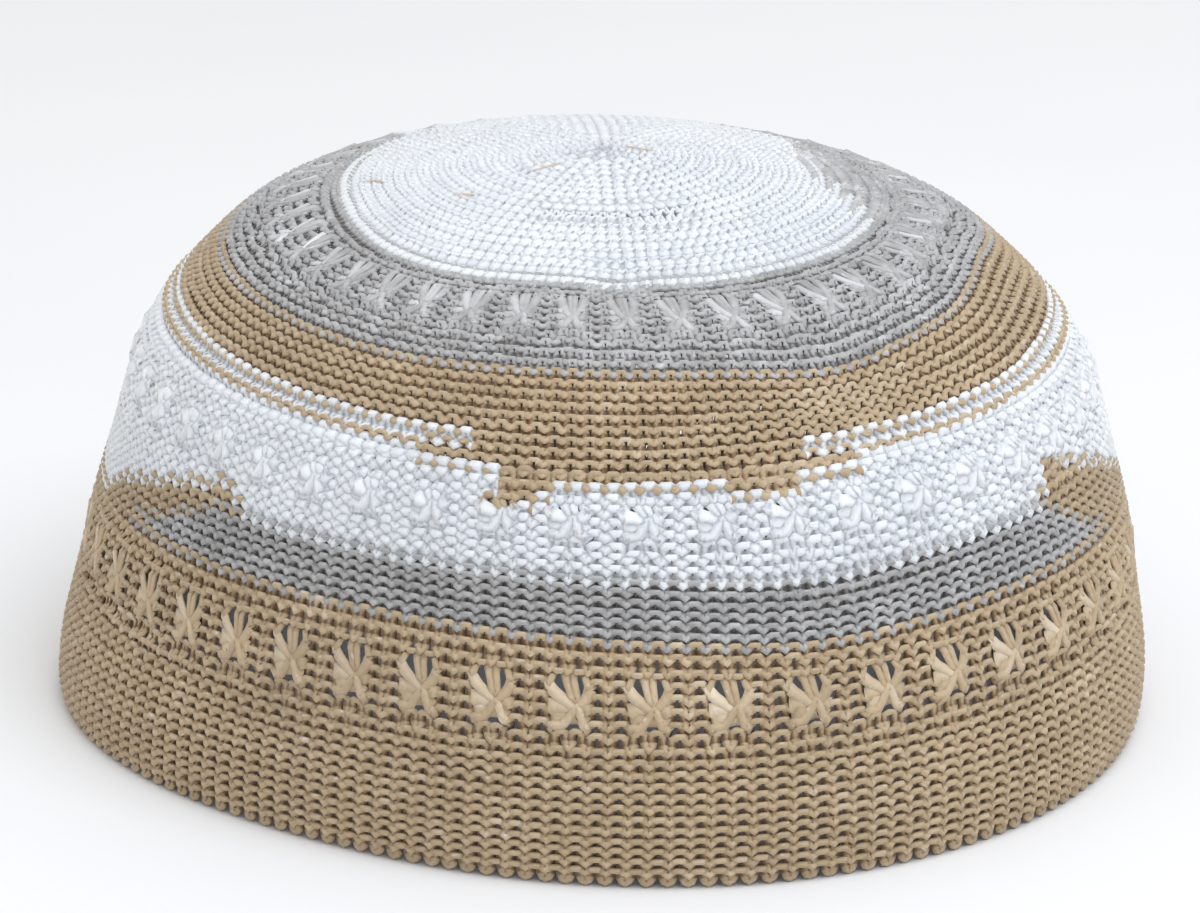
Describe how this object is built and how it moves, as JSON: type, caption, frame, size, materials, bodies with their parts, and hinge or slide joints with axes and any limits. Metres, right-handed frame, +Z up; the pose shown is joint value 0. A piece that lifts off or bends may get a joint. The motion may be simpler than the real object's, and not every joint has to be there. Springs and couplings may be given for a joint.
{
  "type": "knitted prayer cap",
  "caption": "Soft knitted prayer cap in sand, white and grey bands: a low domed crown over a hollow oval wall with lace rings and a plain rim.",
  "frame": {"origin": "on the surface that the rim rests on, under the middle of the cap's bounding box", "axes": "+Z up through the crown; Y along the long axis of the oval rim, with the front of the cap at -Y; X across it"},
  "size_m": [0.1703, 0.1893, 0.0895],
  "materials": {
    "sand_knit": "matt sand cotton yarn, plain purl knit",
    "sand_lace_knit": "matt sand cotton yarn, purl knit with butterfly lace",
    "grey_knit": "matt grey cotton yarn, plain purl knit",
    "white_knit": "matt white cotton yarn, purl knit with butterfly lace",
    "light_sand_knit": "matt sand cotton yarn, open purl knit",
    "grey_lace_knit": "matt light grey cotton yarn, purl knit with butterfly lace",
    "white_crown_knit": "matt white cotton yarn, fine purl knit drawn in to the pole"
  },
  "bodies": {
    "root": {"rim_band": "sand_knit", "side_lace_band": "sand_lace_knit", "side_stripe_band": "grey_knit", "upper_side_band": "white_knit", "shoulder_band": "light_sand_knit", "crown_lace_band": "grey_lace_knit", "crown_disc": "white_crown_knit"}
  },
  "joints": []
}
